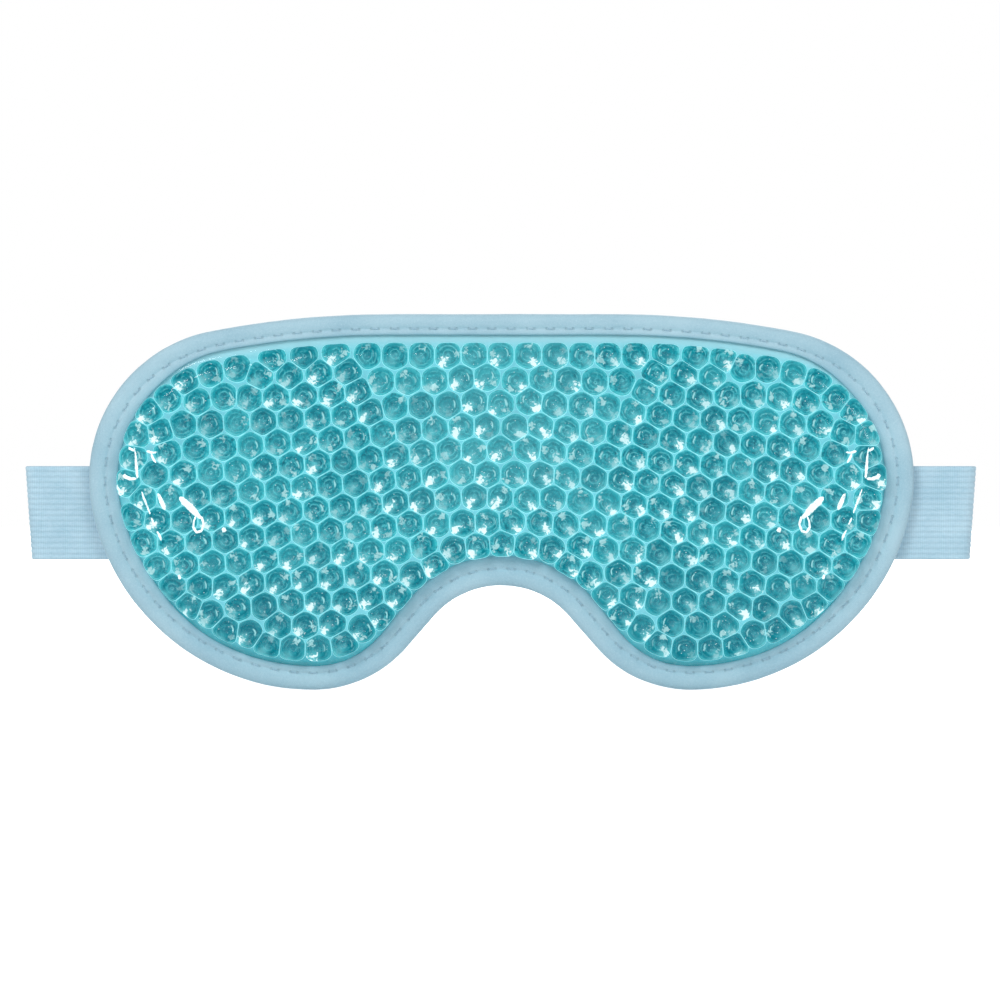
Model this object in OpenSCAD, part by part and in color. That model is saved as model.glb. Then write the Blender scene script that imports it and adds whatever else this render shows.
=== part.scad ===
// Eye pillow: a mask-shaped pad with a clear pouch of gel beads in front, a plush
// backing against the face, binding sewn round the edge, and an elastic strap sewn
// to each side, folded back behind the pad and ending in a fastening patch.
// Upright as worn: X across the face, Y towards the face, Z up, in millimetres.
// Zero lies on the middle plane, at the plush face, half way up the pad.

/* [Outline] */
// Height of the top edge above the middle
top_z = 50; // [35:0.5:70]
// Half length of the straight run along the top edge
top_run = 30; // [10:1:50]
// Radius of the long curve beside the top run
crown_r = 250; // [120:5:400]
// Turn of the long curve beside the top run
crown_a = 11; // [6:0.5:20]
// Radius of the upper outer corner
shoulder_r = 40; // [25:0.5:60]
// Turn of the upper outer corner
shoulder_a = 89.5; // [70:0.5:100]
// Radius of the lower side
flank_r = 60; // [40:0.5:90]
// Turn of the lower side
flank_a = 80; // [60:0.5:95]
// Radius under each eye
lobe_r = 33; // [24:0.5:45]
// Turn under each eye
lobe_a = 48.5; // [35:0.5:60]
// Height of the top of the nose notch
nose_z = -22.4; // [-35:0.1:-10]
// Largest gap between the curves and their straight facets
edge_gap = 0.15; // [0.05:0.01:0.4]

/* [Pouch] */
// Thickness of each clear film
film_t = 0.3; // [0.2:0.05:0.6]
// Distance of the film edges in from the outline
film_inset = 0.9; // [0.8:0.1:2]
// Distance of the pouch weld in from the outline
pouch_inset = 7.2; // [7.1:0.1:10]
// Height of the pouch front above its flange
pouch_rise = 6.2; // [4:0.1:10]
// Width of the rounded pouch edge
pouch_round = 4; // [3.5:0.1:8]
// Steps in the rounded pouch edge
pouch_steps = 5; // [3:1:10]

/* [Gel beads] */
// Distance between neighbouring bead middles
bead_pitch = 7; // [5:0.1:10]
// Gap between neighbouring beads
bead_gap = 0.2; // [0.1:0.05:0.6]
// Radius of the flattened front and rear of a bead
bead_flat_r = 1.8; // [1:0.1:3]
// Gap left between the beads and the films
bead_clear = 0.25; // [0.05:0.05:0.5]
// Distance of the outermost bead middles in from the outline
bead_inset = 12.4; // [12:0.1:20]

/* [Plush backing] */
// Thickness of the backing where it is squeezed in the binding
seam_t = 1.3; // [0.8:0.1:2]
// Thickness of the padded middle of the backing
pad_t = 2.4; // [1.5:0.1:6]
// Distance of the padded middle in from the outline
pad_inset = 7.4; // [7.1:0.1:9]
// Width of the rounded edge of the padded middle
pad_round = 1.9; // [1:0.1:4]

/* [Binding] */
// Width of the binding on each face
binding_w = 7; // [5:0.1:7.5]
// Thickness of the binding tape
binding_t = 0.9; // [0.5:0.1:1.5]
// Distance of the inside of the binding's fold in from the outline
pocket_inset = 0.8; // [0.6:0.1:1]
// Bevel along the free edges of the binding
binding_bevel = 0.3; // [0.1:0.05:0.4]
// Steps round the outer edge of the binding
binding_steps = 4; // [4:1:10]
// Distance of the stitching in from the outline
seam_inset = 4.5; // [3:0.1:6]
// Distance between neighbouring stitches
stitch_pitch = 5.2; // [3:0.1:8]
// Length of one stitch
stitch_l = 3.2; // [2:0.1:5]
// Width of the thread
thread_w = 0.5; // [0.3:0.05:0.8]
// Height of the thread above the cloth
thread_h = 0.4; // [0.2:0.05:0.6]

/* [Straps] */
// Width of the elastic
strap_w = 25; // [15:0.5:40]
// Thickness of the elastic
strap_t = 1.4; // [0.8:0.1:2.5]
// Ribs across the width
rib_n = 17; // [8:1:24]
// Height of a rib
rib_h = 0.2; // [0.1:0.05:0.4]
// Height of the strap middle line
strap_z = -3; // [-15:0.5:15]
// Length sewn to the binding
root_l = 6.2; // [5:0.1:8]
// Length standing out beyond the pad edge
strap_out = 16.8; // [10:0.1:40]
// Depth of the folded left tail behind the plush face
left_y = 3.4; // [3:0.1:6]
// Depth of the folded right tail behind the plush face
right_y = 7.8; // [7:0.1:12]
// Open gap between the fold and the tail that swings
swing_gap = 1.2; // [1:0.1:3]
// Length of the tail next to the fold
tail_l = 12; // [6:1:20]
// Length of the end that carries the patch
end_l = 42; // [30:1:60]
// Distance of the folded tips from the middle plane
tip_x = 4; // [3:0.5:20]

/* [Patches] */
// Length of each fastening patch
patch_l = 38; // [20:1:55]
// Width of each fastening patch
patch_w = 23; // [12:0.5:38]
// Thickness of the patch tape
patch_t = 0.5; // [0.3:0.1:1]
// Height of the loop pile above its tape
pile_h = 0.7; // [0.3:0.1:1]
// Height of the hook rows above their tape
hook_h = 1; // [0.5:0.1:1.2]
// Number of hook rows
hook_rows = 9; // [5:1:12]
// Plain margin round the hooks and the pile
margin_w = 2.2; // [1.5:0.1:4]
// Distance between neighbouring patch stitches
patch_pitch = 3.8; // [3:0.1:6]

/* [Hidden] */
layer_y = -pad_t;
rear_y = layer_y - film_t;
front_y = rear_y - film_t;
dome_y = front_y - pouch_rise;
seam_y = layer_y + seam_t;
cover_y = front_y - binding_t;
sewn_y = seam_y + binding_t;
arc_r = [crown_r, shoulder_r, flank_r, lobe_r];
arc_a = [crown_a, shoulder_a, flank_a, lobe_a];
last = len(arc_r) - 1;
end_turn = turned(last + 1);
notch = [0, nose_z] - centre(last) - lobe_r * unit(end_turn);
nose_r = (notch * unit(end_turn)) / (1 + cos(end_turn));
nose_c = [0, nose_z - nose_r];
nose_turn = end_turn - 180;
half_w = centre(1).x + shoulder_r;
straight_from = centre(last) + lobe_r * unit(end_turn);
straight = nose_c - nose_r * unit(end_turn) - straight_from;
corners = len(edge(0));
row_pitch = bead_pitch * sqrt(3) / 2;
bead_r = (bead_pitch - bead_gap) / sqrt(3);
bead_h = rear_y - dome_y - film_t - 2 * bead_clear;
LEFT = 0;
RIGHT = 1;
tail_y = [left_y, right_y];
lead_y = sewn_y + strap_t / 2;
root_x = half_w - root_l;
span_x = tip_x + end_l;
tack_margin = 1.3;
tack_n = 7;
tack_l = 2.4;
film_colour = [0.62, 0.9, 0.93, 0.35];
gel_colour = [0.1, 0.62, 0.66];
plush_colour = [0.72, 0.82, 0.88];
cloth_colour = [0.67, 0.79, 0.86];
elastic_colour = [0.63, 0.77, 0.85];
thread_colour = [0.5, 0.64, 0.74];
patch_colour = [0.76, 0.84, 0.89];

// Direction square to the outline after turning clockwise by a from the top edge
function unit(a) = [sin(a), cos(a)];

// Turn reached at the start of curve i
function turned(i) = i == 0 ? 0 : turned(i - 1) + arc_a[i - 1];

// Middle of curve i, each curve running into the next without a corner
function centre(i) = i == 0 ? [top_run, top_z - crown_r]
    : centre(i - 1) + (arc_r[i - 1] - arc_r[i]) * unit(turned(i));

// Number of facets that keeps a curve of radius r and turn a within the edge gap
function facets(r, a) = ceil(a / (2 * acos(1 - edge_gap / r)));

// Points of curve i moved in by d, without its last point
function curve(i, d) = let (n = facets(arc_r[i], arc_a[i])) [for (k = [0:n - 1])
    centre(i) + (arc_r[i] - d) * unit(turned(i) + arc_a[i] * k / n)];

// Points of the hollow over the nose moved in by d, without the one in the middle
function hollow(d) = let (n = facets(nose_r, nose_turn)) [for (k = [0:n - 1])
    nose_c - (nose_r + d) * unit(end_turn - nose_turn * k / n)];

// Right half of the outline moved in by d
function half_edge(d) = concat([for (i = [0:last]) each curve(i, d)],
    [straight_from - d * unit(end_turn)], hollow(d));

// Whole outline moved in by d, clockwise from the top
function edge(d) = let (half = half_edge(d)) concat(half, [[0, nose_z + d]],
    [for (k = [len(half) - 1:-1:0]) [-half[k].x, half[k].y]]);

// Stitches that fit in a run of length l
function stitch_count(l) = round(l / stitch_pitch);

// Length of a curve of radius r over a turn of a
function arc_length(r, a) = r * a * PI / 180;

// Place and turn of each stitch round the right half, moved in by d
function stitches(d) = concat(
    [let (n = stitch_count(top_run)) for (k = [0:n - 1])
        [[top_run * (k + 0.5) / n, top_z - d], 0]],
    [for (i = [0:last]) let (n = stitch_count(arc_length(arc_r[i] - d, arc_a[i])))
        for (k = [0:n - 1]) let (a = turned(i) + arc_a[i] * (k + 0.5) / n)
            [centre(i) + (arc_r[i] - d) * unit(a), a]],
    [let (n = stitch_count(norm(straight))) for (k = [0:n - 1])
        [straight_from + straight * (k + 0.5) / n - d * unit(end_turn), end_turn]],
    [let (n = stitch_count(arc_length(nose_r + d, nose_turn))) for (k = [0:n - 1])
        let (a = end_turn - nose_turn * (k + 0.5) / n)
            [nose_c - (nose_r + d) * unit(a), a]]);

// True when the line from a to b passes p on the right-hand side
function passes(a, b, p) = (a.y > p.y) != (b.y > p.y)
    && p.x < a.x + (b.x - a.x) * (p.y - a.y) / (b.y - a.y);

// True when p lies inside the closed outline
function inside(p, outline) = let (n = len(outline))
    len([for (k = [0:n - 1]) if (passes(outline[k], outline[(k + 1) % n], p)) k]) % 2 == 1;

// Middles of the beads in level rows, each row half a bead along from the last
function bead_middles() =
    let (limit = edge(bead_inset), rows = ceil(top_z / row_pitch))
    let (columns = ceil(half_w / bead_pitch))
    [for (j = [-rows:rows], i = [-columns:columns])
        let (p = [(i + (j % 2 == 0 ? 0 : 0.5)) * bead_pitch, j * row_pitch])
            if (inside(p, limit)) p];

// Rounded pouch edge from its weld at depth y out to the flat front
function pouch_curve(d, y) = [for (k = [0:pouch_steps]) let (a = 90 * k / pouch_steps)
    [d + pouch_round * (1 - cos(a)), y - pouch_rise * sin(a)]];

// The same list from its last entry to its first
function backwards(list) = [for (k = [len(list) - 1:-1:0]) list[k]];

// Ribbed cross-section of the elastic, thickness by width
function rib_face(side) = [for (i = [0:2 * rib_n])
    [side * (strap_t / 2 - (i % 2 == 0 ? rib_h : 0)), strap_w * (i / (2 * rib_n) - 0.5)]];
function strap_section() = concat(rib_face(1), backwards(rib_face(-1)));

// Middle radius and middle line of the fold on one side
function fold_r(side) = (tail_y[side] - lead_y) / 2;
function fold_x(side) = half_w + strap_out - strap_t / 2 - fold_r(side);

// Where the swinging tail starts and where the stretching span starts
function tail_x(side) = fold_x(side) - swing_gap;
function stretch_x(side) = tail_x(side) - tail_l;

// Points of the outline at every [distance in, depth] of a list
function rings(list) = [for (r = list, p = edge(r[0])) [p.x, r[1], p.y]];

// Four-sided wall faces between ring i and ring k
function wall(i, k) = [for (j = [0:corners - 1]) let (m = (j + 1) % corners)
    [k * corners + j, k * corners + m, i * corners + m, i * corners + j]];

// Solid whose skin runs through a list of rings, closed at the first and the last
module shell(list) {
    top = (len(list) - 1) * corners;
    polyhedron(rings(list), concat(
        [for (i = [0:len(list) - 2]) each wall(i, i + 1)],
        [[for (j = [0:corners - 1]) j], [for (j = [corners - 1:-1:0]) top + j]]));
}

// Hoop round the pad with a closed cross-section
module hoop(list) {
    polyhedron(rings(list), [for (i = [0:len(list) - 1]) each wall(i, (i + 1) % len(list))]);
}

// Flat sheet moved in by d, from depth y towards the front by a thickness of t
module sheet(d, y, t) {
    translate([0, y, 0])
        rotate([90, 0, 0])
            linear_extrude(t)
                polygon(edge(d));
}

// Right-hand shape, mirrored for the left side
module on_side(side) {
    if (side == LEFT) mirror([1, 0, 0]) children();
    else children();
}

// Straight length of elastic from x0 to x1 at depth y
module elastic(x0, x1, y) {
    translate([x0, y, strap_z])
        rotate([90, 0, 90])
            linear_extrude(x1 - x0)
                polygon(strap_section());
}

// Half turn of elastic from the lead round to the tail
module fold(side) {
    translate([fold_x(side), (lead_y + tail_y[side]) / 2, strap_z])
        rotate([0, 0, -90])
            rotate_extrude(angle = 180, $fn = 16)
                translate([fold_r(side), 0])
                    polygon(strap_section());
}

// One stitch lying along the outline, or along X when it is not turned
module stitch(p, y, a = 0, l = stitch_l) {
    translate([p.x, y, p.y])
        rotate([0, a, 0])
            cube([l, thread_h, thread_w], center = true);
}

// Row of stitches round the pad, left out where the straps cover the cloth
module stitch_row(y, covered) {
    for (side = [LEFT, RIGHT], s = stitches(seam_inset)) {
        hidden = s[0].x > root_x - stitch_l && abs(s[0].y - strap_z) < strap_w / 2 + stitch_l;
        if (!(covered && hidden)) on_side(side) stitch(s[0], y, s[1]);
    }
}

// Two upright rows of stitches holding the root of a strap
module tack(side) {
    on_side(side)
        for (x = [root_x + tack_margin, half_w - tack_margin], k = [0:tack_n - 1])
            stitch([x, strap_z + (k - (tack_n - 1) / 2) * strap_w / tack_n],
                sewn_y + strap_t + thread_h / 2, 90, tack_l);
}

// Block on a patch, set in from its border by m, between two depths
module patch_block(m, y0, y1) {
    translate([tip_x + (end_l - patch_l) / 2 + m, min(y0, y1), strap_z - patch_w / 2 + m])
        cube([patch_l - 2 * m, abs(y1 - y0), patch_w - 2 * m]);
}

// Stitches round the border of a patch at one depth
module patch_seam(y) {
    half = [patch_l - margin_w, patch_w - margin_w] / 2;
    middle = [tip_x + end_l / 2, strap_z];
    n = [round(2 * half.x / patch_pitch), round(2 * half.y / patch_pitch)];
    for (k = [0:n.x - 1], s = [-1, 1])
        stitch(middle + [half.x * (2 * (k + 0.5) / n.x - 1), s * half.y], y, 0, tack_l);
    for (k = [0:n.y - 1], s = [-1, 1])
        stitch(middle + [s * half.x, half.y * (2 * (k + 0.5) / n.y - 1)], y, 90, tack_l);
}

// Border stitches on the patch and on the other face of the elastic
module patch_stitching(side, out) {
    face = strap_t / 2 + thread_h / 2;
    on_side(side) {
        patch_seam(tail_y[side] + out * (face + patch_t));
        patch_seam(tail_y[side] - out * face);
    }
}

module front_film() {
    color(film_colour) shell(concat(
        backwards(pouch_curve(pouch_inset + film_t, rear_y)),
        [[film_inset, rear_y], [film_inset, front_y]],
        pouch_curve(pouch_inset, front_y)));
}

module rear_film() {
    color(film_colour) sheet(film_inset, layer_y, film_t);
}

module gel_beads() {
    color(gel_colour)
        for (p = bead_middles())
            translate([p.x, rear_y - bead_clear - bead_h / 2, p.y])
                for (turn = [90, -90])
                    rotate([turn, 0, 0])
                        rotate([0, 0, 30])
                            cylinder(h = bead_h / 2, r1 = bead_r, r2 = bead_flat_r, $fn = 6);
}

module plush_backing() {
    color(plush_colour) {
        shell(concat(
            [[film_inset, layer_y], [film_inset, seam_y]],
            [for (a = [0:30:60])
                [pad_inset + pad_round * (1 - cos(a)), seam_y * (1 - sin(a))]]));
        sheet(pad_inset + pad_round, 0, pad_t / 2);
    }
}

module binding_tape() {
    r = (sewn_y - cover_y) / 2;
    inner = binding_w - binding_bevel;
    color(cloth_colour) hoop(concat(
        [for (k = [0:binding_steps]) let (a = 180 * k / binding_steps - 90)
            [r * (1 - cos(a)), (sewn_y + cover_y) / 2 + r * sin(a)]],
        [[inner, sewn_y], [binding_w, sewn_y - binding_bevel], [binding_w, seam_y],
            [pocket_inset, seam_y], [pocket_inset, front_y], [binding_w, front_y],
            [binding_w, cover_y + binding_bevel], [inner, cover_y]]));
}

module binding_stitching() {
    color(thread_colour) {
        stitch_row(cover_y - thread_h / 2, false);
        stitch_row(sewn_y + thread_h / 2, true);
    }
}

module strap_lead(side) {
    color(elastic_colour) on_side(side) {
        elastic(root_x, fold_x(side), lead_y);
        fold(side);
    }
}

module strap_tail(side) {
    color(elastic_colour) on_side(side)
        elastic(stretch_x(side), tail_x(side), tail_y[side]);
}

module strap_span(side) {
    color(elastic_colour) on_side(side)
        elastic(span_x, stretch_x(side), tail_y[side]);
}

module strap_end(side) {
    color(elastic_colour) on_side(side)
        elastic(tip_x, span_x, tail_y[side]);
}

module left_strap_lead() {
    strap_lead(LEFT);
}

module left_strap_tack() {
    color(thread_colour) tack(LEFT);
}

module left_strap_tail() {
    strap_tail(LEFT);
}

module left_strap_span() {
    strap_span(LEFT);
}

module left_strap_end() {
    strap_end(LEFT);
}

module loop_patch() {
    y = left_y + strap_t / 2;
    color(patch_colour) on_side(LEFT) {
        patch_block(0, y, y + patch_t);
        patch_block(margin_w, y + patch_t, y + patch_t + pile_h);
    }
}

module loop_patch_stitching() {
    color(thread_colour) patch_stitching(LEFT, 1);
}

module right_strap_lead() {
    strap_lead(RIGHT);
}

module right_strap_tack() {
    color(thread_colour) tack(RIGHT);
}

module right_strap_tail() {
    strap_tail(RIGHT);
}

module right_strap_span() {
    strap_span(RIGHT);
}

module right_strap_end() {
    strap_end(RIGHT);
}

module hook_patch() {
    y = right_y - strap_t / 2;
    row_step = (patch_w - 2 * margin_w) / (2 * hook_rows - 1);
    color(patch_colour) {
        patch_block(0, y - patch_t, y);
        for (k = [0:hook_rows - 1])
            translate([tip_x + (end_l - patch_l) / 2 + margin_w, y - patch_t - hook_h,
                strap_z - patch_w / 2 + margin_w + 2 * k * row_step])
                cube([patch_l - 2 * margin_w, hook_h, row_step]);
    }
}

module hook_patch_stitching() {
    color(thread_colour) patch_stitching(RIGHT, -1);
}

front_film();
rear_film();
gel_beads();
plush_backing();
binding_tape();
binding_stitching();
left_strap_lead();
left_strap_tack();
left_strap_tail();
left_strap_span();
left_strap_end();
loop_patch();
loop_patch_stitching();
right_strap_lead();
right_strap_tack();
right_strap_tail();
right_strap_span();
right_strap_end();
hook_patch();
hook_patch_stitching();
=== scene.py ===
import math

import bpy
import numpy as np
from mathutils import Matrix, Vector, geometry, kdtree, noise


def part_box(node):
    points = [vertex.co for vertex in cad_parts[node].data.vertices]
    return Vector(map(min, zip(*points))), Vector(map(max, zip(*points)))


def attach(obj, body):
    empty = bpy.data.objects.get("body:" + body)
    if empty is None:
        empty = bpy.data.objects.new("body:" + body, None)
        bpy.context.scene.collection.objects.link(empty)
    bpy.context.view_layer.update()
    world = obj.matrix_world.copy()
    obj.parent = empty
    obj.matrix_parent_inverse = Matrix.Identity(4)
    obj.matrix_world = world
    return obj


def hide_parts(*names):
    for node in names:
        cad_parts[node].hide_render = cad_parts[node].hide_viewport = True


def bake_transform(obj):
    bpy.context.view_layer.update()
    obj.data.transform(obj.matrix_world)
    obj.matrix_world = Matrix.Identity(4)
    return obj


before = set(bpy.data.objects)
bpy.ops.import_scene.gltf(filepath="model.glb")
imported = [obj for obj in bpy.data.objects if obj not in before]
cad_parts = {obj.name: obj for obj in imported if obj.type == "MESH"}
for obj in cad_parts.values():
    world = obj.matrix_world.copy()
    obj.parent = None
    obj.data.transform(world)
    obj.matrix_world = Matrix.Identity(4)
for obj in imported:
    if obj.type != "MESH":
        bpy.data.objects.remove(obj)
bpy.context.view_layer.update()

MM = 0.001

# ---------------------------------------------------------------- outline, in millimetres
TOP_RUN, TOP_Z, NOSE_Z = 30.0, 50.0, -22.4
ARCS = ((250.0, 11.0), (40.0, 89.5), (60.0, 80.0), (33.0, 48.5))
STRAP_Z = -3.0
# depth of the rear film, of the front film on the weld and of the highest beads
REAR_Y, WELD_Y, DOME_Y = -2.7, -3.05, -9.2
# length round the pad and of one stitch of its binding
EDGE_RUN, STITCH_PITCH = 545.0, 5.2


def square_to(a):
    return np.array([math.sin(a), math.cos(a)])


def run_of(points):
    """Length along a path, at each of its points."""
    return np.r_[0, np.cumsum(np.linalg.norm(np.diff(points, axis=0), axis=1))]


def along(at, length, rows):
    """Rows of values at each length along a path."""
    return np.stack([np.interp(at, length, column) for column in rows.T], -1)


def half_outline(n):
    """n + 1 points and outward normals, evenly spaced from the top middle to the nose."""
    runs = [(np.array([0.0, TOP_Z]), np.array([TOP_RUN, TOP_Z]), square_to(0.0))]
    centre, turn = np.array([TOP_RUN, TOP_Z - ARCS[0][0]]), 0.0
    for i, (r, a) in enumerate(ARCS):
        if i:
            centre = centre + (ARCS[i - 1][0] - r) * square_to(turn)
        runs.append((centre, r, turn, turn + math.radians(a)))
        turn += math.radians(a)
    out = square_to(turn)
    start = centre + ARCS[-1][0] * out
    gap = np.array([0.0, NOSE_Z]) - start
    r = float(gap @ out) / (1 + math.cos(turn))
    centre = np.array([0.0, NOSE_Z - r])
    runs.append((start, centre - r * out, out))
    runs.append((centre, -r, turn, math.pi))
    points, normals = [], []
    for run in runs:
        for t in np.linspace(0, 1, 400):
            if len(run) == 3:
                points.append(run[0] + t * (run[1] - run[0]))
                normals.append(run[2])
            else:
                a = run[2] + t * (run[3] - run[2])
                points.append(run[0] + run[1] * square_to(a))
                normals.append(square_to(a))
    points, normals = np.array(points), np.array(normals)
    length = run_of(points)
    at = np.linspace(0, length[-1], n + 1)
    points, normals = along(at, length, points), along(at, length, normals)
    return points, normals / np.linalg.norm(normals, axis=1)[:, None]


def outline(n):
    """2 n stations round the whole outline, clockwise from the top middle."""
    p, q = half_outline(n)
    flip = np.array([-1.0, 1.0])
    return np.vstack([p, p[-2:0:-1] * flip]), np.vstack([q, q[-2:0:-1] * flip])


def tree_of(points):
    tree = kdtree.KDTree(len(points))
    for i, p in enumerate(points):
        tree.insert((p[0], p[1], 0.0), i)
    tree.balance()
    return tree


def nearest(tree, points):
    return np.array([tree.find((p[0], p[1], 0.0))[1] for p in points])


EDGE_P, EDGE_N = outline(560)
EDGE_TREE = tree_of(EDGE_P)


def inset_of(points):
    """Distance of each point in from the outline, positive inside."""
    points = np.atleast_2d(points)
    k = nearest(EDGE_TREE, points)
    away = points - EDGE_P[k]
    square, gap = (away * EDGE_N[k]).sum(1), np.linalg.norm(away, axis=1)
    return np.where(gap > 1.0, np.sign(square) * -gap, -square)


def smooth(x, lo, hi):
    t = np.clip((np.asarray(x, float) - lo) / (hi - lo), 0, 1)
    return t * t * (3 - 2 * t)


def noise_of(points, scale, seed=0.0):
    """Smooth noise from -1 to 1 at points in millimetres, scale in millimetres."""
    moved = np.asarray(points) / scale + np.array([seed, -seed, 2 * seed])
    return np.array([noise.noise(Vector(p)) for p in moved])



# ---------------------------------------------------------------- materials
def linear(r, g, b, a=1.0):
    def one(c):
        c /= 255.0
        return c / 12.92 if c <= 0.04045 else ((c + 0.055) / 1.055) ** 2.4
    return (one(r), one(g), one(b), a)


class Nodes:
    """Short calls for building one material's node tree."""

    def __init__(self, name):
        self.material = bpy.data.materials.new(name)
        self.material.use_nodes = True
        self.tree = self.material.node_tree
        self.tree.nodes.clear()
        self.out = self.node("OutputMaterial")

    def plug(self, value, socket):
        if value is None:
            return
        if isinstance(value, bpy.types.NodeSocket):
            self.tree.links.new(value, socket)
        else:
            socket.default_value = value

    def node(self, kind, **values):
        """New node with its named inputs set, a space in a name written as an underscore."""
        node = self.tree.nodes.new("ShaderNode" + kind)
        for key, value in values.items():
            self.plug(value, node.inputs[key.replace("_", " ")])
        return node

    def math(self, operation, *values):
        node = self.node("Math")
        node.operation = operation
        for value, socket in zip(values, node.inputs):
            self.plug(value, socket)
        return node.outputs[0]

    def plus(self, a, b):
        return self.math("ADD", a, b)

    def minus(self, a, b):
        return self.math("SUBTRACT", a, b)

    def times(self, a, b):
        return self.math("MULTIPLY", a, b)

    def size(self, a):
        return self.math("ABSOLUTE", a)

    def far(self, a, b):
        """The distance whose two parts are a and b."""
        return self.math("SQRT", self.plus(self.math("POWER", a, 2.0), self.math("POWER", b, 2.0)))

    def vmath(self, operation, a, b=None):
        node = self.node("VectorMath")
        node.operation = operation
        self.plug(a, node.inputs[0])
        self.plug(b, node.inputs[1])
        return node.outputs["Value" if operation == "LENGTH" else "Vector"]

    def split(self, vector):
        node = self.node("SeparateXYZ")
        self.plug(vector, node.inputs[0])
        return tuple(node.outputs)

    def mix(self, factor, a, b, blend="MIX"):
        node = self.node("Mix")
        node.data_type, node.blend_type = "RGBA", blend
        self.plug(factor, node.inputs[0])
        self.plug(a, node.inputs[6])
        self.plug(b, node.inputs[7])
        return node.outputs[2]

    def blend(self, factor, a, b):
        node = self.node("MixShader")
        for value, socket in zip((factor, a, b), node.inputs):
            self.plug(value, socket)
        return node.outputs[0]

    def ramp(self, value, stops, interpolation="LINEAR"):
        node = self.node("ValToRGB")
        node.color_ramp.interpolation = interpolation
        elements = node.color_ramp.elements
        elements[1].position, elements[1].color = stops[-1]
        elements[0].position, elements[0].color = stops[0]
        for place, colour in stops[1:-1]:
            elements.new(place).color = colour
        self.plug(value, node.inputs[0])
        return node.outputs[0]

    def range(self, value, lo, hi, to_lo=0.0, to_hi=1.0, kind="SMOOTHSTEP"):
        node = self.node("MapRange")
        node.interpolation_type = kind
        for v, socket in zip((value, lo, hi, to_lo, to_hi), node.inputs):
            self.plug(v, socket)
        return node.outputs[0]

    def attribute(self, name, output="Fac"):
        node = self.node("Attribute")
        node.attribute_name = name
        return node.outputs[output]

    def place(self, stretch=(1, 1, 1)):
        """Rest position in millimetres, held in the mesh so that it also follows a bend."""
        return self.vmath("MULTIPLY", self.attribute("rest_mm", "Vector"), stretch)

    def texture(self, kind, vector, scale, **more):
        return self.node("Tex" + kind, Vector=vector, Scale=scale, **more)

    def noise(self, vector, scale, detail=3.0, roughness=0.55, distortion=0.0):
        return self.texture("Noise", vector, scale, Detail=detail, Roughness=roughness,
                            Distortion=distortion).outputs[0]

    def wave(self, vector, scale, direction="X", distortion=0.0):
        node = self.texture("Wave", vector, scale, Distortion=distortion)
        node.bands_direction = direction
        return node.outputs[1]

    def bump(self, height, distance, strength):
        return self.node("Bump", Height=height, Distance=distance * MM, Strength=strength).outputs[0]

    def surface(self, colour, roughness, normal=None, **more):
        node = self.node("BsdfPrincipled", Base_Color=colour, Roughness=roughness, Normal=normal, **more)
        self.tree.links.new(node.outputs[0], self.out.inputs[0])
        return node


def cloth_material(name, light, dark, weave=0.35, pile=0.12, sheen=0.35):
    """Brushed knit: fine fibre noise over a faint knit, with slow shade changes."""
    n = Nodes(name)
    where = n.place()
    slow = n.noise(where, 0.06, 2.0)
    fine = n.noise(where, 2.6, 4.0, 0.65)
    fibre = n.noise(n.place((1.0, 1.0, 3.2)), 2.2, 3.0, 0.7, 0.6)
    knit = n.times(n.wave(where, 1.1, "DIAGONAL", 2.0), 0.5)
    shade = n.plus(n.times(slow, 0.55), n.times(fine, 0.45))
    colour = n.ramp(shade, ((0.34, dark), (0.62, light)))
    specks = n.range(fine, 0.62, 0.74)
    colour = n.mix(n.times(specks, 0.25), colour, (1, 1, 1, 1), "SOFT_LIGHT")
    # painted shade in hollows: along the binding's inner edge, between tufts of pile and in grooves
    hollow = n.range(n.attribute("hollow"), 0.0, 1.0)
    deep = tuple(c * 0.50 for c in dark[:3]) + (1,)
    colour = n.mix(n.times(hollow, 0.7), colour, deep)
    # needle holes with painted shade in them, placed by the length along the seam and the distance from
    # it
    turn_x, turn_y, aside = n.split(n.attribute("seam", "Vector"))
    pair = n.size(n.math("DIVIDE", n.math("ARCTAN2", turn_y, turn_x), 2 * math.pi))
    gap = n.times(n.minus(pair, 0.19), STITCH_PITCH)
    away = n.far(gap, aside)
    hole = n.times(n.range(away, 0.52, 0.16), n.range(n.size(aside), 0.6, 0.5))
    colour = n.mix(n.times(hole, 0.30), colour, deep)
    height = n.plus(n.times(fibre, pile), n.times(knit, weave * 0.2))
    height = n.minus(height, n.times(hole, 0.4))
    normal = n.bump(height, 0.6, 0.6)
    n.surface(colour, 0.92, normal, Sheen_Weight=sheen, Sheen_Roughness=0.45,
              Sheen_Tint=(0.9, 0.96, 1.0, 1.0), Specular_IOR_Level=0.25)
    return n.material


def elastic_material(name, light, dark):
    """Woven elastic: fine crosswise picks on lengthwise ribs, with painted shade in the grooves."""
    n = Nodes(name)
    where = n.place()
    picks = n.wave(n.place((1, 0.0, 0.0)), 0.55, "X", 0.35)
    threads = n.wave(n.place((0.0, 0.0, 1)), 1.35, "Z", 0.0)
    slow = n.noise(where, 0.09, 2.0)
    fine = n.noise(n.place((0.35, 1, 1.6)), 2.4, 3.0, 0.6)
    shade = n.plus(n.times(slow, 0.5), n.times(fine, 0.5))
    colour = n.ramp(shade, ((0.3, dark), (0.66, light)))
    # painted shade in the grooves between ribs
    groove = n.attribute("hollow")
    colour = n.mix(n.times(groove, 0.28), colour, tuple(c * 0.55 for c in dark[:3]) + (1,))
    colour = n.mix(n.times(n.minus(1.0, picks), 0.16), colour,
                   tuple(c * 0.6 for c in dark[:3]) + (1,))
    height = n.plus(n.times(picks, 0.6), n.times(threads, 0.25))
    normal = n.bump(n.plus(height, n.times(fine, 0.5)), 0.12, 0.7)
    n.surface(colour, 0.78, normal, Sheen_Weight=0.2, Sheen_Roughness=0.5, Specular_IOR_Level=0.35)
    return n.material


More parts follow.
